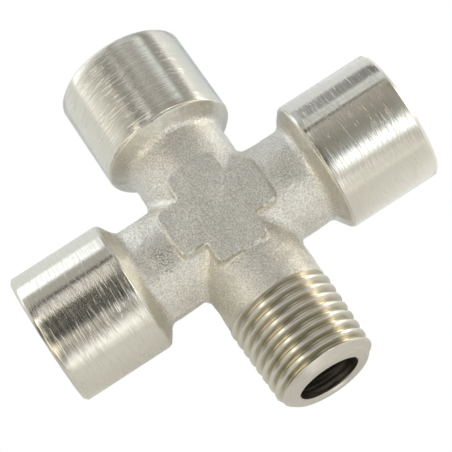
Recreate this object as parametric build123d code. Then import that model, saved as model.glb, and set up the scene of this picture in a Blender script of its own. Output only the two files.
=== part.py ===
from build123d import *
import math
import os

# Cross fitting, 1/4 inch: one hot-forged brass body, turned, bored and threaded,
# then nickel plated. Millimetres.
# Frame: the origin is the crossing point of the four port axes. +Z is square to the
# plane that holds them. The two side ports face +X and -X, the third female port faces
# +Y, and the male taper thread faces -Y.
# Every arm is drawn along +X, with s the distance from the origin, and turned in place.

EAST, NORTH, WEST, SOUTH = 0, 90, 180, -90   # turns about Z that place the arms
FEMALE_TURNS = (EAST, NORTH, WEST)

# --- forged body ---
NECK_R = 6.487           # round neck between the crossing and each boss
NECK_FILLET_R = 1.05     # neck to shoulder
SHOULDER_S0 = 11.86      # the shoulder cone starts on the neck here
SHOULDER_S1 = 13.30      # and meets the boss here
SHOULDER_EDGE_R = 0.36   # rounded forging edge between shoulder and boss
CROTCH_R = 1.45          # blend between neighbouring necks
CROTCH_MIN_LENGTH = 3.0  # crotch edges are longer than this
CROTCH_MIN_OFFSET = 6.45 # and their midpoints are farther than this from the Z axis
DIAGONAL_TOLERANCE = 0.05  # allowed difference between |x| and |y| on a crotch edge

# --- flat plus-shaped pad on the top and the bottom ---
PAD_HALF_WIDTH = 3.40    # half the width of each bar of the plus
PAD_HALF_LENGTH = 6.75   # centre to the end of each bar
PAD_Z = 6.70             # height of the flat
PAD_OUTER_R = 1.00       # rounded corners at the ends of the bars
PAD_INNER_R = 0.55       # corners between the bars
PAD_EDGE_R = 0.20        # soft edge round the flat
PICK_MARGIN = 0.01       # slack when picking the corners of the plus

# --- three female ports, G 1/4 ---
BOSS_R = 8.675
PORT_FACE_S = 25.70      # origin to port face
BOSS_CHAMFER = 0.40
G14_MAJOR_R = 13.157 / 2
TAP_DRILL_R = 11.88 / 2  # crests of the female thread, left by the drill
PORT_DRILL_S = 12.70     # the full diameter of the drilled port ends here
PORT_THREAD_S = 14.70    # the female thread ends here
PORT_GROOVE_INSET = 0.55 # thread end to the middle of the groove's inner end
PORT_GROOVE_PAST = 0.50  # groove turns start up to this far past the port face
DRILL_POINT_DEG = 118.0
MOUTH_R = 6.90           # 90 degree countersink at the port face

# --- male port, R 1/4 taper thread ---
MALE_TIP_S = 23.80       # origin to male tip
GAUGE_LENGTH = 6.00      # the gauge plane is this far from the tip
TAPER = 1.0 / 16         # on diameter
MALE_START_S = 12.38     # the turned, threaded length starts here, square to the neck
MALE_CHAMFER_S = 22.75   # the tip chamfer starts here
MALE_TIP_R = 5.39
MALE_DEPTH = 0.77        # thread depth between the truncated crests and roots
MALE_GROOVE_PAST = 0.60  # groove turns start up to this far past the tip
CREST_DEG = 8.0          # angle of the reference crest about the arm, from +Z
CREST_S = 13.33          # and its distance from the origin
GROOVE_START_DEG = 90.0  # the groove starts at this angle from +Z

# --- both threads ---
PITCH = 25.4 / 19        # 19 threads per inch
FLANK = math.tan(math.radians(27.5))   # half of the 55 degree thread angle
ROOT_FLAT = 0.225        # width of a thread root
FEMALE_CLEARANCE = 0.10  # the cutter starts this far inside the female crests
MALE_CLEARANCE = 0.12    # and this far outside the male crests
TRIM_R = 12.0            # cylinder that limits the groove at the neck
TRIM_LENGTH = 10.0

# --- bores ---
BORE_R = 4.00            # cross bore through all four arms
BORE_CHAMFER = 0.25      # broken edge of the bore at the male tip
BORE_PAST = 1.0          # bores run past the side drill depth and the male tip
LONG_BORE_Y = -5.0       # middle of the bore from the male tip to the far port
CUT_PAST = 0.1           # conical cuts run this far past an end face


def crest_r(s):
    """Crest radius of the male taper thread at distance s from the origin."""
    return G14_MAJOR_R + ((MALE_TIP_S - s) - GAUGE_LENGTH) * TAPER / 2


def turned(points, fillets=()):
    """Revolve (s, r) points about X; fillets holds (point index, radius) pairs."""
    outline = make_face(Polyline(*[(s, r, 0) for s, r in points], close=True))
    for index, radius in fillets:
        s, r = points[index]
        corner = outline.vertices().sort_by_distance((s, r, 0))[0]
        outline = fillet(corner, radius)
    return revolve(outline, axis=Axis.X, revolution_arc=360)


def female_boss():
    return turned(
        [
            (0, 0),
            (0, NECK_R),
            (SHOULDER_S0, NECK_R),
            (SHOULDER_S1, BOSS_R),
            (PORT_FACE_S - BOSS_CHAMFER, BOSS_R),
            (PORT_FACE_S, BOSS_R - BOSS_CHAMFER),
            (PORT_FACE_S, 0),
        ],
        fillets=((2, NECK_FILLET_R), (3, SHOULDER_EDGE_R)),
    )


def male_spigot():
    return turned(
        [
            (0, 0),
            (0, NECK_R),
            (MALE_START_S, NECK_R),
            (MALE_START_S, crest_r(MALE_START_S)),
            (MALE_CHAMFER_S, crest_r(MALE_CHAMFER_S)),
            (MALE_TIP_S, MALE_TIP_R),
            (MALE_TIP_S, 0),
        ]
    )


def plus_pad():
    """Short prism through the crossing, flat on top and underneath."""
    def reach(corner):
        return max(abs(corner.X), abs(corner.Y))

    bar = Rectangle(2 * PAD_HALF_LENGTH, 2 * PAD_HALF_WIDTH)
    plus = bar + Rot(0, 0, 90) * bar
    ends = [v for v in plus.vertices() if reach(v) > PAD_HALF_LENGTH - PICK_MARGIN]
    plus = fillet(ends, PAD_OUTER_R)
    inner = [v for v in plus.vertices() if reach(v) < PAD_HALF_WIDTH + PICK_MARGIN]
    plus = fillet(inner, PAD_INNER_R)
    pad = extrude(plus, amount=PAD_Z, both=True)
    by_height = pad.faces().sort_by(Axis.Z)
    return fillet(by_height[0].edges() + by_height[-1].edges(), PAD_EDGE_R)


def is_crotch(edge):
    """True for the lines between neighbouring necks, which lie over the diagonals."""
    start, middle = edge @ 0, edge @ 0.5
    return (
        edge.length > CROTCH_MIN_LENGTH
        and all(abs(abs(p.X) - abs(p.Y)) < DIAGONAL_TOLERANCE for p in (start, middle))
        and math.hypot(middle.X, middle.Y) > CROTCH_MIN_OFFSET
    )


def forged_body():
    boss = female_boss()
    body = Rot(0, 0, EAST) * boss
    for turn in (NORTH, WEST):
        body += Rot(0, 0, turn) * boss
    body += Rot(0, 0, SOUTH) * male_spigot()
    body += plus_pad()
    return fillet([e for e in body.edges() if is_crotch(e)], CROTCH_R)


def cut_bores(body):
    """Side-to-side bore, then the bore from the male tip to the far port."""
    body -= Rot(0, 90, 0) * Cylinder(BORE_R, 2 * (PORT_DRILL_S + BORE_PAST))
    long_bore = Cylinder(BORE_R, 2 * (MALE_TIP_S + BORE_PAST + LONG_BORE_Y))
    body -= Pos(0, LONG_BORE_Y, 0) * Rot(90, 0, 0) * long_bore
    tip_chamfer = turned(
        [
            (MALE_TIP_S - BORE_CHAMFER, BORE_R),
            (MALE_TIP_S + CUT_PAST, BORE_R + BORE_CHAMFER + CUT_PAST),
            (MALE_TIP_S + CUT_PAST, 0),
            (MALE_TIP_S - BORE_CHAMFER, 0),
        ]
    )
    return body - Rot(0, 0, SOUTH) * tip_chamfer


def port_cut():
    """Drilled port with its drill point and its countersunk mouth."""
    point_length = (TAP_DRILL_R - BORE_R) / math.tan(math.radians(DRILL_POINT_DEG / 2))
    return turned(
        [
            (PORT_DRILL_S - point_length, 0),
            (PORT_DRILL_S - point_length, BORE_R),
            (PORT_DRILL_S, TAP_DRILL_R),
            (PORT_FACE_S - (MOUTH_R - TAP_DRILL_R), TAP_DRILL_R),
            (PORT_FACE_S + CUT_PAST, MOUTH_R + CUT_PAST),
            (PORT_FACE_S + CUT_PAST, 0),
        ]
    )


def helix(radius_at, s0):
    """One right-hand turn about X from s0; radius_at gives the radius at s."""
    start_r = radius_at(s0)
    cone = math.degrees(math.atan2(radius_at(s0 + PITCH) - start_r, PITCH))
    return Edge.make_helix(PITCH, PITCH, start_r, (s0, 0, 0), (1, 0, 0), cone)


def groove_turn(s0, mouth, root, half_mouth, half_root):
    """One turn of V groove; mouth and root give the radius at s."""
    rows = [
        helix(mouth, s0 - half_mouth),
        helix(root, s0 - half_root),
        helix(root, s0 + half_root),
        helix(mouth, s0 + half_mouth),
    ]
    sides = [Face.make_surface_from_curves(rows[i], rows[(i + 1) % 4]) for i in range(4)]
    ends = [
        Face(Wire.make_polygon([row.position_at(at) for row in rows], close=True))
        for at in (0, 1)
    ]
    return Solid(Shell(sides + ends))


def cut_thread(body, turn, s0, s1, mouth, root, phase=0.0, stop=None):
    """Cut a groove turn by turn from s0 to s1, never nearer the origin than stop."""
    half_root = ROOT_FLAT / 2
    half_mouth = half_root + abs(mouth(s0) - root(s0)) * FLANK
    at = s0
    while at < s1:
        tool = groove_turn(at, mouth, root, half_mouth, half_root)
        if stop is not None and at - half_mouth < stop:
            trim = Cylinder(TRIM_R, TRIM_LENGTH)
            tool &= Pos(stop + TRIM_LENGTH / 2, 0, 0) * Rot(0, 90, 0) * trim
        body -= Rot(0, 0, turn) * Rot(phase, 0, 0) * tool
        at += PITCH
    return body


def cut_female_thread(body, turn):
    """Parallel thread, cut from its inner end to past the mouth."""
    return cut_thread(
        body,
        turn,
        PORT_THREAD_S + PORT_GROOVE_INSET,
        PORT_FACE_S + PORT_GROOVE_PAST,
        mouth=lambda s: TAP_DRILL_R - FEMALE_CLEARANCE,
        root=lambda s: G14_MAJOR_R,
    )


def cut_male_thread(body):
    """Taper thread, its groove one and a half pitches inward of the reference crest."""
    start_s = CREST_S + PITCH * ((GROOVE_START_DEG - CREST_DEG) / 360 - 1.5)
    return cut_thread(
        body,
        SOUTH,
        start_s,
        MALE_TIP_S + MALE_GROOVE_PAST,
        mouth=lambda s: crest_r(s) + MALE_CLEARANCE,
        root=lambda s: crest_r(s) - MALE_DEPTH,
        phase=GROOVE_START_DEG,
        stop=MALE_START_S,
    )


def cross_body():
    body = cut_bores(forged_body())
    port = port_cut()
    for turn in FEMALE_TURNS:
        body -= Rot(0, 0, turn) * port
    for turn in FEMALE_TURNS:
        body = cut_female_thread(body, turn)
    body = cut_male_thread(body)
    body.label = "cross_body"
    return body


os.makedirs("parts", exist_ok=True)
export_step(cross_body(), "parts/cross_body.step")
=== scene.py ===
import math
import bpy
import bmesh
import numpy as np
from mathutils import Matrix, Vector


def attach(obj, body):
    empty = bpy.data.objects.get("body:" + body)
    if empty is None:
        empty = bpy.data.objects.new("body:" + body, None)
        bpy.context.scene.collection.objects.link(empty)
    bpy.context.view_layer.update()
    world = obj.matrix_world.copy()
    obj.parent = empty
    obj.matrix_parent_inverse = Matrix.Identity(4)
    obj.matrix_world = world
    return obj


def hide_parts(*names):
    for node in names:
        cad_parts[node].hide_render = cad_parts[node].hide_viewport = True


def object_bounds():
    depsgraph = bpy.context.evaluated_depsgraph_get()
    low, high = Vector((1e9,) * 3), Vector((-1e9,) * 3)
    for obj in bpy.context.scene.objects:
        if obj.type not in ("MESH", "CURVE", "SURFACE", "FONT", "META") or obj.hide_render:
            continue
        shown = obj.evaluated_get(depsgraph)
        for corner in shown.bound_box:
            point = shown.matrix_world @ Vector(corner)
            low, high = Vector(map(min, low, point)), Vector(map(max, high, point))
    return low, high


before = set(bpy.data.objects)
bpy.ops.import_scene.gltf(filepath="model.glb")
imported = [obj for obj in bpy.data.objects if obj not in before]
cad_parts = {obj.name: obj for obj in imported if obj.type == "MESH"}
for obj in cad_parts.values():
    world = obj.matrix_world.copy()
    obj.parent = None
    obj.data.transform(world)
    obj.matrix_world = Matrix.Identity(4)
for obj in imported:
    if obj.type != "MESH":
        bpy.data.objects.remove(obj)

cad_box = [list(map(float, c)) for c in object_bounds()]
scene = bpy.context.scene

# ---------------------------------------------------------------------------
# Sizes, in millimetres, as in the CAD part. s is the distance from the crossing
# along an arm, phi the angle about the arm's axis, from +Z.
# ---------------------------------------------------------------------------
TAU = 2 * math.pi
NECK_R, CROTCH_R = 6.487, 1.45
PAD_W, PAD_L, PAD_Z = 3.40, 6.75, 6.70
BOSS_R, FACE_S, BORE_R = 8.675, 25.70, 4.0
DRILL_R, DRILL_S, MOUTH_R = 5.94, 12.70, 6.90
PITCH, MAJOR_R = 25.4 / 19, 13.157 / 2
TIP_S, TIP_R, START_S, CHAMFER_S = 23.80, 5.25, 12.38, 22.70
FLANK = math.tan(math.radians(27.5))
ROOT_RHO = 0.137329 * PITCH
CUT_S = 11.0                  # the forged middle is an isosurface up to here, the arms are turned profiles beyond
EAST, NORTH, WEST, SOUTH = 0.0, 90.0, 180.0, -90.0
FORGED, TURNED, THREAD, BORE = 0, 1, 2, 3


def crest_r(s):
    return MAJOR_R + ((TIP_S - s) - 6.0) / 32


class Build:
    """Vertices and faces of one mesh, with a material index per face."""

    def __init__(self):
        self.v, self.n, self.f, self.m = [], 0, [], []

    def add(self, pts):
        pts = np.asarray(pts, float).reshape(-1, 3)
        ids = self.n + np.arange(len(pts))
        self.v.append(pts)
        self.n += len(pts)
        return ids

    def faces(self, rows, mat):
        rows = np.asarray(rows)
        if len(rows):
            self.f.append(rows)
            self.m.append(np.full(len(rows), mat))

    def strip(self, a, b, mat):
        """Quads between two closed rings of the same length."""
        self.faces(np.c_[a, np.roll(a, -1), np.roll(b, -1), b], mat)

    def zipper(self, a, alpha, b, beta, mat):
        """Triangles between two closed rings of any length, each sorted by its angle."""
        n, m = len(a), len(b)
        i = j = 0
        out = []
        aa = np.r_[alpha, alpha[0] + TAU]
        bb = np.r_[beta, beta[0] + TAU]
        while i < n or j < m:
            if j == m or (i < n and aa[i + 1] <= bb[j + 1]):
                out.append((a[i % n], a[(i + 1) % n], b[j % m]))
                i += 1
            else:
                out.append((a[i % n], b[(j + 1) % m], b[j % m]))
                j += 1
        self.faces(out, mat)


def place(turn, s, r, phi):
    """Arm coordinates to the row frame, in mm."""
    s, r, phi = np.broadcast_arrays(s, r, phi)
    x, y, z = s, -r * np.sin(phi), r * np.cos(phi)
    c, q = round(math.cos(math.radians(turn))), round(math.sin(math.radians(turn)))
    return np.stack([x * c - y * q, x * q + y * c, z], -1)


# ---------------------------------------------------------------------------
# Unevenness of the forged skin: a fixed sum of plane waves, from 0.45 to 5 mm long
# ---------------------------------------------------------------------------
_rng = np.random.default_rng(41)
WAVES = []
for length, amp, count in ((5.0, 0.030, 8), (2.2, 0.016, 12), (1.1, 0.010, 14), (0.55, 0.0062, 18)):
    for _ in range(count):
        d = _rng.normal(size=3)
        d /= np.linalg.norm(d)
        WAVES.append((d * TAU / (length * _rng.uniform(0.8, 1.25)), _rng.uniform(0, TAU), amp * math.sqrt(2 / count)))


def unevenness(p):
    out = np.zeros(len(p))
    for k, ph, amp in WAVES:
        out += amp * np.sin(p @ k + ph)
    return out


def smoothstep(a, b, x):
    t = np.clip((x - a) / (b - a), 0, 1)
    return t * t * (3 - 2 * t)


def round_min(a, b, r):
    return np.maximum(r, np.minimum(a, b)) - np.hypot(np.maximum(r - a, 0), np.maximum(r - b, 0))


def round_max(a, b, r):
    return np.minimum(-r, np.maximum(a, b)) + np.hypot(np.maximum(r + a, 0), np.maximum(r + b, 0))


def round_box(x, y, hx, hy, r):
    qx, qy = x - hx + r, y - hy + r
    return np.hypot(np.maximum(qx, 0), np.maximum(qy, 0)) + np.minimum(np.maximum(qx, qy), 0) - r


def forged(x, y, z):
    """Distance-like field of the forged middle: two crossing necks, their blends, both pads and the trimmed flash line."""
    x, y, z = np.abs(x), np.abs(y), np.abs(z)
    ra, rb = np.hypot(y, z) + 1e-9, np.hypot(x, z) + 1e-9
    a, b = ra - NECK_R, rb - NECK_R
    # flash: the sheared edge of the parting line stands a little proud along the necks' sides
    flash = 0.10 * (1 - smoothstep(0.30, 0.52, z))
    a, b = a - flash, b - flash
    cosine = np.clip(z * z / (ra * rb), 0, 1)
    half = np.sqrt((1 + cosine) / 2)
    neck = round_min(a, b, CROTCH_R * (1 - half) / 0.29289 + 1e-3)
    arm1 = round_box(x, y, PAD_L, PAD_W, 1.0)
    arm2 = round_box(x, y, PAD_W, PAD_L, 1.0)
    plan = round_min(arm1, arm2, 0.55) - 0.14 * (PAD_Z - z)
    pad = round_max(plan, z - PAD_Z, 0.16)
    return round_min(neck, pad, 0.17)


def surface_nets(h):
    xs = np.arange(-round(CUT_S / h), round(CUT_S / h) + 1) * (CUT_S / round(CUT_S / h))
    nz = int(7.3 / h) + 1
    zs = (np.arange(-nz, nz + 1) + 0.37) * h
    X, Y, Z = np.meshgrid(xs, xs, zs, indexing="ij")
    F = forged(X, Y, Z)
    inside = F < 0
    nx, ny, nzz = F.shape
    acc = np.zeros((nx - 1, ny - 1, nzz - 1, 3))
    cnt = np.zeros((nx - 1, ny - 1, nzz - 1))
    P = np.stack([X, Y, Z], -1)
    full = [slice(0, -1), slice(1, None)]
    for ax in range(3):
        lo = [slice(None)] * 3
        hi = [slice(None)] * 3
        lo[ax], hi[ax] = slice(0, -1), slice(1, None)
        fa, fb = F[tuple(lo)], F[tuple(hi)]
        cross = (fa < 0) != (fb < 0)
        t = np.where(cross, fa / np.where(cross, fa - fb, 1), 0)[..., None]
        q = P[tuple(lo)] * (1 - t) + P[tuple(hi)] * t
        others = [i for i in range(3) if i != ax]
        for i in (0, 1):
            for j in (0, 1):
                sl = [slice(None)] * 3
                sl[others[0]], sl[others[1]] = full[i], full[j]
                c = cross[tuple(sl)]
                acc += np.where(c[..., None], q[tuple(sl)], 0)
                cnt += c
    used = cnt > 0
    ids = -np.ones(used.shape, int)
    ids[used] = np.arange(used.sum())
    pts = acc[used] / cnt[used][:, None]
    quads = []
    for ax in range(3):
        lo = [slice(None)] * 3
        hi = [slice(None)] * 3
        lo[ax], hi[ax] = slice(0, -1), slice(1, None)
        cross = inside[tuple(lo)] != inside[tuple(hi)]
        o = [i for i in range(3) if i != ax]
        core = [slice(None)] * 3
        core[o[0]], core[o[1]] = slice(1, -1), slice(1, -1)
        idx = np.argwhere(cross[tuple(core)])
        idx[:, o[0]] += 1
        idx[:, o[1]] += 1
        ring = []
        for d0, d1 in ((0, 0), (1, 0), (1, 1), (0, 1)):
            k = idx.copy()
            k[:, o[0]] -= d0
            k[:, o[1]] -= d1
            ring.append(ids[k[:, 0], k[:, 1], k[:, 2]])
        quads.append(np.stack(ring, -1))
    return pts, np.concatenate(quads)


def project(p, field, steps, e=1e-3):
    for _ in range(steps):
        f = field(*p.T)
        g = np.stack([(field(*(p + d).T) - field(*(p - d).T)) / (2 * e) for d in np.eye(3) * e], -1)
        p = p - f[:, None] * g / np.maximum((g * g).sum(1), 0.05)[:, None]
    return p, g / np.linalg.norm(g, axis=1)[:, None]


def forged_middle(h):
    """Vertices, quads and the four open rims of the forged middle."""
    pts, quads = surface_nets(h)
    edges = np.sort(np.concatenate([quads[:, [0, 1]], quads[:, [1, 2]], quads[:, [2, 3]], quads[:, [3, 0]]]), axis=1)
    uniq, count = np.unique(edges, axis=0, return_counts=True)
    rim = np.zeros(len(pts), bool)
    rim[uniq[count == 1].ravel()] = True
    pts, _ = project(pts, forged, 3)
    deg = np.zeros(len(pts))
    np.add.at(deg, uniq.ravel(), 1)
    for _ in range(6):
        mean = np.zeros_like(pts)
        np.add.at(mean, uniq[:, 0], pts[uniq[:, 1]])
        np.add.at(mean, uniq[:, 1], pts[uniq[:, 0]])
        mean /= deg[:, None]
        moved = np.where(rim[:, None], pts, pts + 0.5 * (mean - pts))
        moved, normal = project(moved, forged, 2)
        pts = np.where(rim[:, None], pts, moved)
    pts, normal = project(pts, forged, 2)
    return pts, normal, quads, rim


def profile_normals(s, r):
    """Outward normal (along s, along r) at each point of an outer profile that runs outwards along the arm."""
    ds, dr = np.gradient(s), np.gradient(r)
    k = np.hypot(ds, dr)
    return -dr / k, ds / k


def resample(points, step):
    """Points along a polyline no further apart than step, keeping its corners."""
    out = [points[0]]
    for (s0, r0), (s1, r1) in zip(points[:-1], points[1:]):
        n = max(1, int(math.ceil(math.hypot(s1 - s0, r1 - r0) / step)))
        out += [(s0 + (s1 - s0) * t / n, r0 + (r1 - r0) * t / n) for t in range(1, n + 1)]
    return out


def corner(p0, p1, p2, radius, n=5):
    """Arc points that round the corner p1 of a profile."""
    a, b, c = map(np.array, (p0, p1, p2))
    u, v = (a - b) / np.linalg.norm(a - b), (c - b) / np.linalg.norm(c - b)
    half = math.acos(np.clip(u @ v, -1, 1)) / 2
    cut = radius / math.tan(half)
    centre = b + (u + v) / np.linalg.norm(u + v) * radius / math.sin(half)
    start, end = b + u * cut - centre, b + v * cut - centre
    a0 = math.atan2(start[1], start[0])
    sweep = (math.atan2(end[1], end[0]) - a0 + math.pi) % TAU - math.pi
    return [tuple(centre + radius * np.array([math.cos(a0 + sweep * t / n), math.sin(a0 + sweep * t / n)])) for t in range(n + 1)]


def threaded(m, turn, s0, s1, groove_s, offsets, radius, columns, mat):
    """Surface of a thread between the circles s0 and s1. Each column of vertices is straight along the arm, its inner
    points sit on the helix, and neighbouring columns are joined point to point. Returns the rings at s0 and s1."""
    J = len(offsets)
    phi = np.arange(columns) * TAU / columns
    cols = []
    eps = 0.012
    for i in range(columns):
        base = groove_s + PITCH * phi[i] / TAU
        k0, k1 = int((s0 - base) / PITCH) - 2, int((s1 - base) / PITCH) + 2
        keys = np.arange(k0 * J, k1 * J)
        s = base + (keys // J) * PITCH + offsets[keys % J]
        keep = (s > s0 + eps) & (s < s1 - eps)
        keys, s = keys[keep], s[keep]
        s = np.r_[s0, s, s1]
        u = (s - base + PITCH / 2) % PITCH - PITCH / 2
        cols.append((keys, m.add(place(turn, s, radius(u, s), phi[i]))))
    quads, tris = [], []
    for i in range(columns):
        ka, a = cols[i]
        kb, b = cols[(i + 1) % columns]
        if i == columns - 1:
            kb = kb - J
        lo, hi = max(ka[0], kb[0]), min(ka[-1], kb[-1])
        ia, ib = a[1 + (lo - ka[0]):1 + (hi - ka[0]) + 1], b[1 + (lo - kb[0]):1 + (hi - kb[0]) + 1]
        quads += list(zip(ia[:-1], ia[1:], ib[1:], ib[:-1]))
        head_a, head_b = a[:1 + (lo - ka[0]) + 1], b[:1 + (lo - kb[0]) + 1]
        tail_a, tail_b = a[1 + (hi - ka[0]):], b[1 + (hi - kb[0]):]
        for pa, pb in ((head_a, head_b), (tail_a, tail_b)):
            x = y = 0
            while x < len(pa) - 1 or y < len(pb) - 1:
                if len(pa) - x > 1 and len(pb) - y > 1 and len(pa) - x == len(pb) - y:
                    quads.append((pa[x], pa[x + 1], pb[y + 1], pb[y]))
                    x, y = x + 1, y + 1
                elif len(pa) - x > len(pb) - y:
                    tris.append((pa[x], pa[x + 1], pb[y]))
                    x += 1
                else:
                    tris.append((pa[x], pb[y + 1], pb[y]))
                    y += 1
    m.faces(quads, mat)
    m.faces(tris, mat)
    return np.array([c[1][0] for c in cols]), np.array([c[1][-1] for c in cols])


def build_mesh():
    m = Build()
    fine = 0.195
    N_OUT, N_MALE, N_IN = 180, 120, 90

    # forged middle
    pts, normal, quads, rim = forged_middle(fine)
    pts = pts + normal * unevenness(pts)[:, None]
    core = m.add(pts)
    m.faces(core[quads], FORGED)
    rims = {}
    for turn, axis, sign in ((EAST, 0, 1), (NORTH, 1, 1), (WEST, 0, -1), (SOUTH, 1, -1)):
        pick = np.where(rim & (pts[:, axis] * sign > CUT_S - 3 * fine))[0]
        c, q = round(math.cos(math.radians(turn))), round(math.sin(math.radians(turn)))
        local_y = -pts[pick, 0] * q + pts[pick, 1] * c
        ang = np.arctan2(-local_y, pts[pick, 2]) % TAU
        order = np.argsort(ang)
        rims[turn] = (core[pick[order]], ang[order])

    phi_out = np.arange(N_OUT) * TAU / N_OUT
    phi_in = np.arange(N_IN) * TAU / N_IN
    phi_male = np.arange(N_MALE) * TAU / N_MALE

    def skin(turn, s, r, ns, nr, phi, fade):
        """One ring of the forged skin, displaced along its normal, with the flash line on both sides."""
        p = place(turn, s, r, phi)
        n = place(turn, ns, nr, phi)
        z = np.abs(p[:, 2])
        flash = 0.10 * (1 - smoothstep(0.30, 0.52, z))
        return p + n * ((unevenness(p) + flash) * fade)[:, None]

    # three female arms
    shoulder = [(11.12, NECK_R)]
    shoulder += corner((11.0, NECK_R), (11.86, NECK_R), (13.10, 8.40), 1.05, 6)
    shoulder += corner((11.86, NECK_R), (13.24, 8.575), (14.0, 8.60), 0.36, 5)
    for turn in (EAST, NORTH, WEST):
        prof = np.array(resample(shoulder, 0.165))
        ns, nr = profile_normals(prof[:, 0], prof[:, 1])
        rings = []
        for k, (s, r) in enumerate(prof):
            fade = 1 - smoothstep(13.05, 13.42, s)
            rings.append(m.add(skin(turn, s, r, ns[k], nr[k], phi_out, fade)))
        ids, ang = rims[turn]
        m.zipper(ids, ang, rings[0], phi_out, FORGED)
        for a, b in zip(rings[:-1], rings[1:]):
            m.strip(a, b, FORGED)
        # turned band with its two edges, the port face and the countersink
        last = rings[-1]
        band = [(13.47, 8.630), (13.52, 8.668), (13.56, BOSS_R), (14.6, BOSS_R), (17.0, BOSS_R), (19.4, BOSS_R), (21.8, BOSS_R), (24.2, BOSS_R),
                (25.26, BOSS_R), (25.31, 8.660), (25.66, 8.312), (25.69, 8.285), (FACE_S, 8.25)]
        for s, r in band:
            ring = m.add(place(turn, s, r, phi_out))
            m.strip(last, ring, TURNED)
            last = ring
        face = m.add(place(turn, FACE_S, 7.0, phi_out))
        m.strip(last, face, TURNED)
        mouth = m.add(place(turn, FACE_S, 6.93, phi_in))
        m.zipper(face, phi_out, mouth, phi_in, TURNED)

        def female(u, s):
            crest = np.where(s < FACE_S - 0.96, DRILL_R, DRILL_R + (s - (FACE_S - 0.96)))
            au = np.abs(u)
            bottom = MAJOR_R - ROOT_RHO + np.sqrt(np.maximum(ROOT_RHO ** 2 - au ** 2, 0))
            tangent = ROOT_RHO * math.cos(math.radians(27.5))
            flank = MAJOR_R - ROOT_RHO + ROOT_RHO * math.sin(math.radians(27.5)) - (au - tangent) / FLANK
            groove = np.where(au < tangent, bottom, flank)
            run_out = smoothstep(14.55, 15.1, s)
            return np.maximum(crest, DRILL_R + (groove - DRILL_R) * run_out)

        edge = 0.1630 + (MAJOR_R - ROOT_RHO + ROOT_RHO * math.sin(math.radians(27.5)) - DRILL_R) * FLANK
        offsets = np.array([0.0, 0.085, 0.163, edge, PITCH / 2, PITCH - edge, PITCH - 0.163, PITCH - 0.085])
        inner, outer = threaded(m, turn, 14.5, FACE_S - 0.03, 14.9 + PITCH * turn / 360, offsets, female, N_IN, BORE)
        m.strip(mouth, outer, BORE)
        last = inner
        for s, r in ((13.6, DRILL_R), (DRILL_S, DRILL_R), (11.532, BORE_R)):
            ring = m.add(place(turn, s, r, phi_in))
            m.strip(last, ring, BORE)
            last = ring
        cross = BORE_R * np.abs(np.sin(phi_in))
        for t in (0.8, 0.55, 0.3, 0.0):
            ring = m.add(place(turn, cross + (11.532 - cross) * t, BORE_R, phi_in))
            m.strip(last, ring, BORE)
            last = ring

    # male arm: neck, a small rise, then the taper thread straight from the turned edge
    neck = resample([(11.12, NECK_R), (11.95, NECK_R)] + [(12.20, 6.50), (12.33, 6.50)], 0.165)
    prof = np.array(neck)
    ns, nr = profile_normals(prof[:, 0], prof[:, 1])
    rings = []
    for k, (s, r) in enumerate(prof):
        fade = 1 - smoothstep(12.0, 12.33, s)
        rings.append(m.add(skin(SOUTH, s, r, ns[k], nr[k], phi_male, fade)))
    ids, ang = rims[SOUTH]
    m.zipper(ids, ang, rings[0], phi_male, FORGED)
    for a, b in zip(rings[:-1], rings[1:]):
        m.strip(a, b, FORGED)

    CREST_HALF = 0.155
    tangent = ROOT_RHO * math.cos(math.radians(27.5))
    drop = (PITCH / 2 - CREST_HALF - tangent) / FLANK      # crest to where the root's arc begins

    def male(u, s):
        run = np.clip((s - CHAMFER_S) / (TIP_S - 0.12 - CHAMFER_S), 0, 1)
        env = np.where(s < CHAMFER_S, crest_r(s), crest_r(CHAMFER_S) + (TIP_R + 0.08 - crest_r(CHAMFER_S)) * run ** 1.15)
        au = np.abs(u)
        arc = crest_r(s) - drop + ROOT_RHO * math.sin(math.radians(27.5)) - np.sqrt(np.maximum(ROOT_RHO ** 2 - au ** 2, 0))
        flank = crest_r(s) - (PITCH / 2 - CREST_HALF - au) / FLANK
        groove = np.where(au < tangent, arc, flank)
        # soften the crest's shoulders a little
        k = 0.018
        blend = np.clip(0.5 + (groove - env) / (2 * k), 0, 1)
        soft = groove * (1 - blend) + env * blend - k * blend * (1 - blend)
        return soft

    c_edge = PITCH / 2 - CREST_HALF
    half = np.array([0.07, tangent, 0.34, c_edge - 0.02, c_edge + 0.02, c_edge + 0.055])
    offsets = np.r_[0.0, half, PITCH / 2, PITCH - half[::-1]]
    groove_s = 13.63 - PITCH * 8.0 / 360 - PITCH / 2
    inner, outer = threaded(m, SOUTH, 12.385, TIP_S - 0.12, groove_s, offsets, male, N_MALE, THREAD)
    m.strip(rings[-1], inner, THREAD)
    last = outer
    for s, r in ((TIP_S - 0.07, TIP_R + 0.02), (TIP_S - 0.03, TIP_R - 0.06), (TIP_S - 0.01, TIP_R - 0.15), (TIP_S, TIP_R - 0.28), (TIP_S, BORE_R + 0.28), (TIP_S - 0.03, BORE_R + 0.245)):
        ring = m.add(place(SOUTH, s, r, phi_male))
        m.strip(last, ring, THREAD)
        last = ring
    lip = m.add(place(SOUTH, TIP_S - 0.25, BORE_R + 0.03, phi_male))
    m.strip(last, lip, THREAD)
    bore = m.add(place(SOUTH, TIP_S - 0.29, BORE_R, phi_in))
    m.zipper(lip, phi_male, bore, phi_in, BORE)
    last = bore
    cross = BORE_R * np.abs(np.sin(phi_in))
    for t in (0.85, 0.7, 0.55, 0.4, 0.2, 0.0):
        ring = m.add(place(SOUTH, cross + (TIP_S - 0.29 - cross) * t, BORE_R, phi_in))
        m.strip(last, ring, BORE)
        last = ring
    return m


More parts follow.
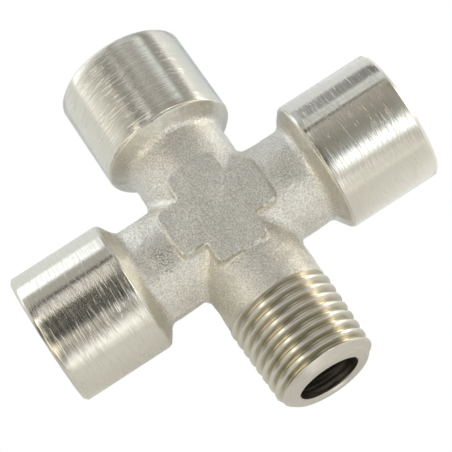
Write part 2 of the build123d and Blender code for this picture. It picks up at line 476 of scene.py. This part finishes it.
# --- blender side ---
def make_object():
    m = build_mesh()
    verts = np.concatenate(m.v)
    key = np.round(verts * 1e5).astype(np.int64)
    uniq, first, inv = np.unique(key, axis=0, return_index=True, return_inverse=True)
    inv = inv.ravel()
    verts = verts[first] / 1000.0
    loops, starts, totals, mats = [], [], [], []
    at = 0
    for f, mat in zip(m.f, m.m):
        f = inv[f]
        loops.append(f.ravel())
        k = f.shape[1]
        starts.append(at + np.arange(len(f)) * k)
        totals.append(np.full(len(f), k))
        mats.append(mat)
        at += f.size
    loops, starts, totals, mats = map(np.concatenate, (loops, starts, totals, mats))
    mesh = bpy.data.meshes.new("cross_fitting")
    mesh.vertices.add(len(verts))
    mesh.vertices.foreach_set("co", verts.ravel())
    mesh.loops.add(len(loops))
    mesh.loops.foreach_set("vertex_index", loops.astype(np.int32))
    mesh.polygons.add(len(starts))
    mesh.polygons.foreach_set("loop_start", starts.astype(np.int32))
    mesh.polygons.foreach_set("loop_total", totals.astype(np.int32))
    mesh.polygons.foreach_set("material_index", mats.astype(np.int32))
    mesh.update(calc_edges=True)
    mesh.validate()
    bm = bmesh.new()
    bm.from_mesh(mesh)
    bmesh.ops.recalc_face_normals(bm, faces=bm.faces)
    # crisp machined edges stay sharp; the forged skin is smooth everywhere
    for f in bm.faces:
        f.smooth = True
    for e in bm.edges:
        if len(e.link_faces) == 2:
            a, b = e.link_faces
            if (a.material_index != FORGED or b.material_index != FORGED) and e.calc_face_angle(0) > math.radians(33):
                e.smooth = False
    bm.to_mesh(mesh)
    bm.free()
    ob = bpy.data.objects.new("cross_fitting", mesh)
    scene.collection.objects.link(ob)
    return ob


class Nodes:
    """Small helper to write a node tree as expressions."""

    def __init__(self, tree):
        self.t = tree
        tree.nodes.clear()

    def new(self, kind, inputs=None, **props):
        n = self.t.nodes.new(kind)
        for k, v in props.items():
            setattr(n, k, v)
        for k, v in (inputs or {}).items():
            if isinstance(v, bpy.types.NodeSocket):
                self.t.links.new(v, n.inputs[k])
            else:
                n.inputs[k].default_value = v
        return n

    def math(self, op, a, b=0.0, c=0.0, clamp=False):
        return self.new("ShaderNodeMath", {0: a, 1: b, 2: c}, operation=op, use_clamp=clamp).outputs[0]

    def vec(self, op, a, b=(0, 0, 0), c=(0, 0, 0)):
        n = self.new("ShaderNodeVectorMath", {0: a, 1: b, 2: c}, operation=op)
        return n.outputs["Value"] if op in ("DOT_PRODUCT", "LENGTH") else n.outputs["Vector"]

    def ramp(self, x, a, b, lo=0.0, hi=1.0, smooth=True):
        n = self.new("ShaderNodeMapRange", {"Value": x, "From Min": a, "From Max": b, "To Min": lo, "To Max": hi}, clamp=True)
        n.interpolation_type = "SMOOTHSTEP" if smooth else "LINEAR"
        return n.outputs["Result"]

    def noise(self, vector, scale, detail=2.0, rough=0.5, w=None, distortion=0.0):
        n = self.new("ShaderNodeTexNoise", {"Vector": vector, "Scale": scale, "Detail": detail, "Roughness": rough, "Distortion": distortion},
                     noise_dimensions="4D" if w is not None else "3D")
        if w is not None:
            self.t.links.new(w, n.inputs["W"])
        return n.outputs["Fac"]

    def mix(self, fac, a, b):
        n = self.new("ShaderNodeMix", data_type="RGBA", clamp_factor=True)
        for i, v in ((0, fac), (6, a), (7, b)):
            if isinstance(v, bpy.types.NodeSocket):
                self.t.links.new(v, n.inputs[i])
            else:
                n.inputs[i].default_value = v if i == 0 else (*v, 1.0)
        return n.outputs[2]

    def mixf(self, fac, a, b):
        n = self.new("ShaderNodeMix", data_type="FLOAT", clamp_factor=True)
        for i, v in ((0, fac), (2, a), (3, b)):
            if isinstance(v, bpy.types.NodeSocket):
                self.t.links.new(v, n.inputs[i])
            else:
                n.inputs[i].default_value = v
        return n.outputs[0]


def arm_coordinates(g):
    """Object position in mm, distance along the arm, the two coordinates across it, and a number per arm."""
    pos = g.vec("MULTIPLY", g.new("ShaderNodeTexCoord").outputs["Object"], (1000.0, 1000.0, 1000.0))
    sep = g.new("ShaderNodeSeparateXYZ", {0: pos})
    x, y, z = sep.outputs
    ax, ay = g.math("ABSOLUTE", x), g.math("ABSOLUTE", y)
    is_y = g.math("GREATER_THAN", ay, ax)
    s = g.math("MAXIMUM", ax, ay)
    t = g.mixf(is_y, y, x)
    sign_x, sign_y = g.math("SIGN", x), g.math("SIGN", y)
    arm = g.mixf(is_y, g.math("MULTIPLY", sign_x, 3.7), g.math("MULTIPLY", sign_y, 9.1))
    return pos, s, t, z, arm, is_y


def near_normal(g):
    """Normal turned so that reflections show the studio as seen from this spot, with its lights 200 mm from the part."""
    geometry = g.new("ShaderNodeNewGeometry")
    n, view = geometry.outputs["Normal"], geometry.outputs["Incoming"]
    twice = g.math("MULTIPLY", g.math("MAXIMUM", g.vec("DOT_PRODUCT", n, view), 0.05), 2.0)
    here = g.vec("MULTIPLY", g.new("ShaderNodeTexCoord").outputs["Object"], (5.0, 5.0, 5.0))
    return g.vec("NORMALIZE", g.vec("MULTIPLY_ADD", n, twice, here))


def principled(mat, g, **inputs):
    bsdf = g.new("ShaderNodeBsdfPrincipled")
    for k, v in inputs.items():
        k = k.replace("_", " ")
        if isinstance(v, bpy.types.NodeSocket):
            g.t.links.new(v, bsdf.inputs[k])
        else:
            bsdf.inputs[k].default_value = v if not isinstance(v, tuple) else (*v, 1.0)
    out = g.new("ShaderNodeOutputMaterial", {"Surface": bsdf.outputs[0]})
    return bsdf


def material(name):
    mat = bpy.data.materials.new(name)
    mat.use_nodes = True
    return mat, Nodes(mat.node_tree)


NICKEL = (0.735, 0.692, 0.612)
BLASTED = (0.785, 0.745, 0.680)


def tint(k, base=NICKEL):
    return tuple(c * k for c in base)


# Rough patches on the forging: centre and half lengths in mm, depth of tone.
PITS = [((-8.8, -2.2, 6.05), (1.9, 1.6, 1.6), 1.0), ((9.1, -1.5, 6.3), (1.7, 1.2, 1.6), 0.5)]


def forged_material():
    """Shot-blasted nickel on the forging: facets and dimples of 0.1 to 0.3 mm, smoother on the shoulder cones, with two
    rough patches where the blast bit deeper."""
    mat, g = material("nickel_blasted")
    pos, s, t, z, arm, is_y = arm_coordinates(g)
    rad = g.math("SQRT", g.math("ADD", g.math("MULTIPLY", t, t), g.math("MULTIPLY", z, z)))
    cone = g.math("MULTIPLY", g.ramp(s, 11.9, 12.3), g.ramp(rad, 6.9, 7.3))
    grain = g.noise(pos, 4.1, 2.0, 0.62)
    fine = g.noise(g.vec("ADD", pos, (31.0, 17.0, 5.0)), 4.8, 2.0, 0.6)
    broad = g.noise(g.vec("ADD", pos, (7.0, 3.0, 11.0)), 0.42, 2.0, 0.5)
    patch = g.math("MULTIPLY", g.ramp(broad, 0.35, 0.7, 0.75, 1.0), g.math("SUBTRACT", 1.0, g.math("MULTIPLY", cone, 0.55)))
    bump = g.new("ShaderNodeBump", {"Strength": patch, "Distance": 0.00013, "Height": grain, "Normal": near_normal(g)}).outputs[0]
    # painted shade on grains that would face away from the light, and painted glints where a few would lie flat and
    # flash
    contrast = g.math("SUBTRACT", 1.0, g.math("MULTIPLY", cone, 0.3))
    shade = g.math("ADD", 0.5, g.math("MULTIPLY", g.math("SUBTRACT", g.ramp(fine, 0.33, 0.67), 0.5), contrast))
    colour = g.mix(shade, tint(0.78, BLASTED), tint(1.17, BLASTED))
    colour = g.mix(g.math("MULTIPLY", cone, 0.45), colour, (0.60, 0.575, 0.485))
    flash = g.math("MULTIPLY", g.ramp(g.noise(g.vec("ADD", pos, (3.0, 41.0, 23.0)), 4.6, 1.0, 0.5), 0.63, 0.73), contrast)
    colour = g.mix(g.math("MULTIPLY", flash, 0.7), colour, tint(1.34, BLASTED))
    # a broken dark line painted along the pad's top edges on the sides that face the spigot, and painted shade in the
    # creases
    n = g.new("ShaderNodeSeparateXYZ", {0: g.new("ShaderNodeNewGeometry").outputs["Normal"]}).outputs[1]
    edge = g.math("MULTIPLY", g.ramp(n, -0.45, -0.15, 1.0, 0.0), g.ramp(g.math("ABSOLUTE", z), PAD_Z - 0.30, PAD_Z - 0.14))
    edge = g.math("MULTIPLY", edge, g.ramp(s, PAD_L + 0.2, PAD_L + 0.4, 1.0, 0.0))
    edge = g.math("MULTIPLY", edge, g.ramp(g.noise(pos, 1.9, 2.0, 0.6), 0.40, 0.54))
    colour = g.mix(g.math("MULTIPLY", edge, 0.75), colour, (0.30, 0.26, 0.19))
    # painted shade: ambient occlusion darkens the creases towards dark olive
    crease_shade = g.new("ShaderNodeAmbientOcclusion", {"Distance": 0.00045}, samples=8, only_local=True).outputs["AO"]
    colour = g.mix(g.ramp(crease_shade, 0.45, 0.85, 0.55, 0.0), colour, (0.36, 0.34, 0.26))
    # dark pits in patches
    pits = 0.0
    for centre, size, amount in PITS:
        off = g.vec("DIVIDE", g.vec("SUBTRACT", pos, centre), size)
        area = g.ramp(g.math("ADD", g.vec("LENGTH", off), g.math("MULTIPLY", g.math("SUBTRACT", broad, 0.5), 1.5)), 0.55, 1.15, amount, 0.0)
        pits = g.math("MAXIMUM", pits, area)
    holes = g.ramp(g.noise(g.vec("MULTIPLY", pos, (1.0, 1.0, 0.5)), 5.2, 1.5, 0.6), 0.48, 0.42)
    pits = g.math("MULTIPLY", pits, holes)
    colour = g.mix(g.math("MULTIPLY", pits, 0.8), colour, tint(0.30, BLASTED))
    rough = g.ramp(g.noise(pos, 2.3, 2.0, 0.6), 0.3, 0.7, 0.36, 0.44)
    principled(mat, g, Base_Color=colour, Metallic=1.0, Roughness=rough, Normal=bump)
    return mat


def across_tangent(g, is_y):
    """Tangent across the turning marks: along the arm on a band, radial on an end face."""
    tx = g.new("ShaderNodeTangent", direction_type="RADIAL", axis="X").outputs[0]
    ty = g.new("ShaderNodeTangent", direction_type="RADIAL", axis="Y").outputs[0]
    n = g.new("ShaderNodeMix", data_type="VECTOR")
    g.t.links.new(is_y, n.inputs[0])
    g.t.links.new(tx, n.inputs[4])
    g.t.links.new(ty, n.inputs[5])
    normal = g.new("ShaderNodeNewGeometry").outputs["Normal"]
    return g.vec("NORMALIZE", g.vec("CROSS_PRODUCT", normal, n.outputs[1]))


def turned_material():
    """Finely turned and plated: marks and short scratches running round the arm, which fray the edges of the reflections."""
    mat, g = material("nickel_turned")
    pos, s, t, z, arm, is_y = arm_coordinates(g)

    def streak(per_mm, along, detail=1.0, lean=0.0):
        v = g.new("ShaderNodeCombineXYZ", {0: g.math("MULTIPLY", g.math("ADD", s, g.math("MULTIPLY", t, lean)), per_mm), 1: g.math("MULTIPLY", t, along), 2: g.math("MULTIPLY", z, along)}).outputs[0]
        return g.noise(v, 1.0, detail, 0.5, w=arm)

    fine = streak(4.6, 0.28)
    finer = streak(7.5, 0.55)
    coarse = streak(2.3, 0.12)
    scratch = g.math("MULTIPLY", g.ramp(streak(5.8, 0.26, 0.0, 0.05), 0.65, 0.71), g.ramp(streak(0.6, 0.6, 1.0), 0.40, 0.56))
    cross = g.math("MULTIPLY", g.ramp(streak(5.4, 0.30, 0.0, -0.13), 0.68, 0.74), g.ramp(streak(0.8, 0.5, 1.0), 0.48, 0.62))
    scratch = g.math("MAXIMUM", scratch, cross)
    height = g.math("ADD", g.math("MULTIPLY", fine, 0.46), g.math("MULTIPLY", coarse, 0.24))
    height = g.math("ADD", height, g.math("MULTIPLY", finer, 0.22))
    height = g.math("SUBTRACT", height, g.math("MULTIPLY", scratch, 0.30))
    bump = g.new("ShaderNodeBump", {"Strength": 1.0, "Distance": 0.00004, "Height": height, "Normal": near_normal(g)}).outputs[0]
    worn = g.noise(pos, 0.5, 2.0, 0.5)
    colour = g.mix(worn, tint(0.98), tint(1.06))
    colour = g.mix(g.math("MULTIPLY", g.ramp(finer, 0.35, 0.65, 1.0, 0.0), 0.10), colour, tint(0.55))
    rough = g.math("ADD", g.ramp(fine, 0.3, 0.7, 0.19, 0.24), g.math("MULTIPLY", scratch, 0.08))
    principled(mat, g, Base_Color=colour, Metallic=1.0, Roughness=rough, Anisotropic=0.80, Tangent=across_tangent(g, is_y), Normal=bump)
    return mat


def thread_material():
    """Cut thread under bright nickel; its roots are painted darker and warmer than the crests, as painted shade and
    warm reflection for the light caught between the flanks.
    """
    mat, g = material("nickel_thread")
    pos, s, t, z, arm, is_y = arm_coordinates(g)
    v = g.new("ShaderNodeCombineXYZ", {0: g.math("MULTIPLY", s, 6.0), 1: g.math("MULTIPLY", t, 0.35), 2: g.math("MULTIPLY", z, 0.35)}).outputs[0]
    lines = g.noise(v, 1.0, 2.0, 0.55, w=arm)
    rad = g.math("SQRT", g.math("ADD", g.math("MULTIPLY", t, t), g.math("MULTIPLY", z, z)))
    bump = g.new("ShaderNodeBump", {"Strength": 1.0, "Distance": 0.0000022, "Height": lines, "Normal": near_normal(g)}).outputs[0]
    # painted shade and warm reflection: the roots darker and warmer than the crests
    colour = g.mix(g.ramp(rad, 5.85, 6.45), (0.56, 0.515, 0.405), (0.75, 0.705, 0.625))
    colour = g.mix(g.ramp(s, CHAMFER_S, CHAMFER_S + 0.25), colour, (0.68, 0.63, 0.565))
    colour = g.mix(g.ramp(lines, 0.3, 0.7, 0.12, 0.0), colour, (0.30, 0.27, 0.20))
    rough = g.ramp(g.noise(pos, 1.2, 2.0, 0.5), 0.3, 0.7, 0.28, 0.33)
    principled(mat, g, Base_Color=colour, Metallic=1.0, Roughness=rough, Anisotropic=0.3, Tangent=across_tangent(g, is_y), Normal=bump)
    return mat


def bore_material():
    """Bores and port insides, drilled, with tool rings: the dark colour is painted shade of the recesses, and the
    lighter colour on the rings is painted highlight on real tool marks.
    """
    mat, g = material("nickel_bore")
    pos, s, t, z, arm, is_y = arm_coordinates(g)
    v = g.new("ShaderNodeCombineXYZ", {0: g.math("MULTIPLY", s, 4.5), 1: g.math("MULTIPLY", t, 0.15), 2: g.math("MULTIPLY", z, 0.15)}).outputs[0]
    rings = g.noise(v, 1.0, 1.5, 0.5, w=arm)
    bump = g.new("ShaderNodeBump", {"Strength": 1.0, "Distance": 0.00005, "Height": rings, "Normal": near_normal(g)}).outputs[0]
    # painted shade inside the bores, with painted highlights on the tool rings
    colour = g.mix(g.ramp(rings, 0.50, 0.66), (0.19, 0.165, 0.14), (0.66, 0.62, 0.56))
    principled(mat, g, Base_Color=colour, Metallic=1.0, Roughness=0.30, Normal=bump)
    return mat


# Soft lights and dark gaps of the studio, from back to front: direction, its right-hand vector, half width and half
# height as tangents, edge softness as a share of them, colour. The last two are the camera and the slit it looks through.
LIGHTS = [
    ((-0.704, -0.485, 0.518), (0.124, 0.634, 0.763), 0.431, 0.775, 1.28, (2.021, 1.925, 1.576)),
    ((0.368, -0.584, 0.723), (-0.550, 0.490, 0.676), 0.310, 0.162, 1.00, (2.852, 3.104, 3.323)),
    ((-0.337, 0.937, 0.090), (-0.826, -0.248, -0.507), 0.581, 0.264, 0.28, (3.006, 3.233, 3.415)),
    ((0.996, 0.086, 0.026), (-0.089, 0.985, 0.150), 0.206, 0.098, 0.91, (12.702, 12.348, 10.835)),
    ((0.497, 0.689, 0.528), (-0.830, 0.200, 0.520), 0.326, 0.204, 0.27, (3.366, 3.808, 3.902)),
    ((-0.507, 0.029, 0.861), (-0.858, 0.078, -0.508), 0.089, 0.269, 0.01, (5.274, 5.201, 4.651)),
    ((-0.015, 0.500, 0.866), (0.597, 0.699, -0.394), 0.516, 0.054, 0.05, (1.668, 1.677, 1.700)),
    ((-0.527, 0.420, 0.739), (-0.826, -0.456, -0.330), 2.562, 0.077, 0.10, (0.063, 0.068, 0.066)),
    ((0.700, 0.363, 0.616), (-0.574, 0.798, 0.183), 0.743, 0.228, 1.10, (0.310, 0.262, 0.209)),
    ((0.458, 0.880, 0.125), (-0.871, 0.416, 0.262), 0.790, 0.533, 1.17, (0.129, 0.126, 0.139)),
    ((-0.990, 0.089, 0.112), (0.008, 0.816, -0.578), 0.175, 0.278, 0.27, (0.027, 0.026, 0.025)),
    ((-0.577, -0.739, -0.347), (-0.749, 0.310, 0.586), 0.973, 0.524, 0.21, (0.036, 0.035, 0.034)),
    ((-0.171, -0.922, 0.348), (-0.581, 0.380, 0.720), 0.198, 0.298, 0.44, (1.487, 1.544, 1.535)),
    ((0.458, -0.827, 0.327), (0.753, 0.556, 0.352), 0.120, 0.261, 0.19, (0.597, 0.586, 0.569)),
    ((-0.102, -0.695, 0.711), (0.578, 0.541, 0.612), 0.669, 0.140, 0.34, (0.107, 0.107, 0.123)),
    ((-0.247, -0.218, 0.944), (-0.096, 0.975, 0.200), 0.390, 0.290, 0.31, (0.002, 0.002, 0.002)),
]

# Light coming up off the floor in six directions, 60 degrees apart from +X.
GLOW = [(0.402, 0.441, 0.484), (0.102, 0.139, 0.190), (0.193, 0.233, 0.280), (0.036, 0.034, 0.033), (0.091, 0.102, 0.114), (0.080, 0.080, 0.080)]


def soft_box(g, d, direction, right, half_a, half_b, edge):
    """Mask of a soft-edged rectangle seen in a direction."""
    c, u = Vector(direction).normalized(), Vector(right)
    u = (u - c * u.dot(c)).normalized()
    w = c.cross(u)
    dc = g.vec("DOT_PRODUCT", d, tuple(c))
    safe = g.math("MAXIMUM", dc, 0.05)
    mask = g.math("GREATER_THAN", dc, 0.06)
    for axis, half in ((u, half_a), (w, half_b)):
        k = g.math("ABSOLUTE", g.math("DIVIDE", g.vec("DOT_PRODUCT", d, tuple(axis)), safe))
        mask = g.math("MULTIPLY", mask, g.ramp(k, half * (1 - edge), half * (1 + edge), 1.0, 0.0))
    return mask


def studio():
    world = bpy.data.worlds.new("studio")
    scene.world = world
    world.use_nodes = True
    g = Nodes(world.node_tree)
    d = g.new("ShaderNodeTexCoord").outputs["Generated"]
    dz = g.new("ShaderNodeSeparateXYZ", {0: d}).outputs[2]
    colour = g.mix(g.ramp(dz, 0.0, 1.0, smooth=False), (0.967, 0.984, 0.932), (0.323, 0.328, 0.298))
    for direction, right, half_a, half_b, edge, col in LIGHTS:
        colour = g.mix(soft_box(g, d, direction, right, half_a, half_b, edge), colour, col)
    # the lights themselves stay out of the picture
    colour = g.mix(g.new("ShaderNodeLightPath").outputs["Is Camera Ray"], colour, (1.0, 1.0, 1.0))
    bg = g.new("ShaderNodeBackground", {"Color": colour, "Strength": 1.0})
    g.new("ShaderNodeOutputWorld", {"Surface": bg.outputs[0]})

    # pale floor, bright enough to stay white under the part
    mesh = bpy.data.meshes.new("floor")
    z, r = cad_box[0][2] - 0.00001, 3.0
    mesh.from_pydata([(-r, -r, z), (r, -r, z), (r, r, z), (-r, r, z)], [], [(0, 1, 2, 3)])
    floor = bpy.data.objects.new("floor", mesh)
    scene.collection.objects.link(floor)
    mat, g = material("floor_white")
    out = g.vec("NORMALIZE", g.vec("MULTIPLY", g.new("ShaderNodeTexCoord").outputs["Object"], (1, 1, 0)))
    lit = (0, 0, 0)
    for k, colour in enumerate(GLOW):
        toward = g.vec("DOT_PRODUCT", out, (math.cos(k * math.pi / 3), math.sin(k * math.pi / 3), 0))
        lit = g.vec("MULTIPLY_ADD", g.math("POWER", g.math("MAXIMUM", toward, 0.0), 3.0), colour, lit)
    diffuse = g.new("ShaderNodeBsdfDiffuse", {"Color": (0.92, 0.92, 0.91, 1)})
    glow = g.new("ShaderNodeEmission", {"Color": lit, "Strength": 1.0})
    both = g.new("ShaderNodeAddShader", {0: diffuse.outputs[0], 1: glow.outputs[0]})
    white = g.new("ShaderNodeEmission", {"Color": (1, 1, 1, 1), "Strength": 1.0})
    seen = g.new("ShaderNodeLightPath").outputs["Is Camera Ray"]
    mix = g.new("ShaderNodeMixShader", {0: seen, 1: both.outputs[0], 2: white.outputs[0]})
    g.new("ShaderNodeOutputMaterial", {"Surface": mix.outputs[0]})
    mesh.materials.append(mat)


def camera():
    right = Vector((0.83784875, -0.52019278, -0.16555648))
    up = Vector((0.54133002, 0.75253274, 0.37504171))
    forward = Vector((0.070508, 0.403849, -0.912104))
    data = bpy.data.cameras.new("camera")
    data.sensor_fit, data.sensor_width, data.lens = "HORIZONTAL", 36.0, 1770.47 / 452 * 36
    data.clip_start, data.clip_end = 0.01, 20
    cam = bpy.data.objects.new("camera", data)
    m = Matrix((right, up, -forward)).transposed().to_4x4()
    m.translation = Vector((-0.015125, -0.087532, 0.197720))
    cam.matrix_world = m
    scene.collection.objects.link(cam)
    scene.camera = cam


part = make_object()
for make in (forged_material, turned_material, thread_material, bore_material):
    part.data.materials.append(make())
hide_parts("cross_body")
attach(part, "root")
studio()
camera()
scene.view_settings.view_transform = "Standard"
scene.view_settings.look = "None"
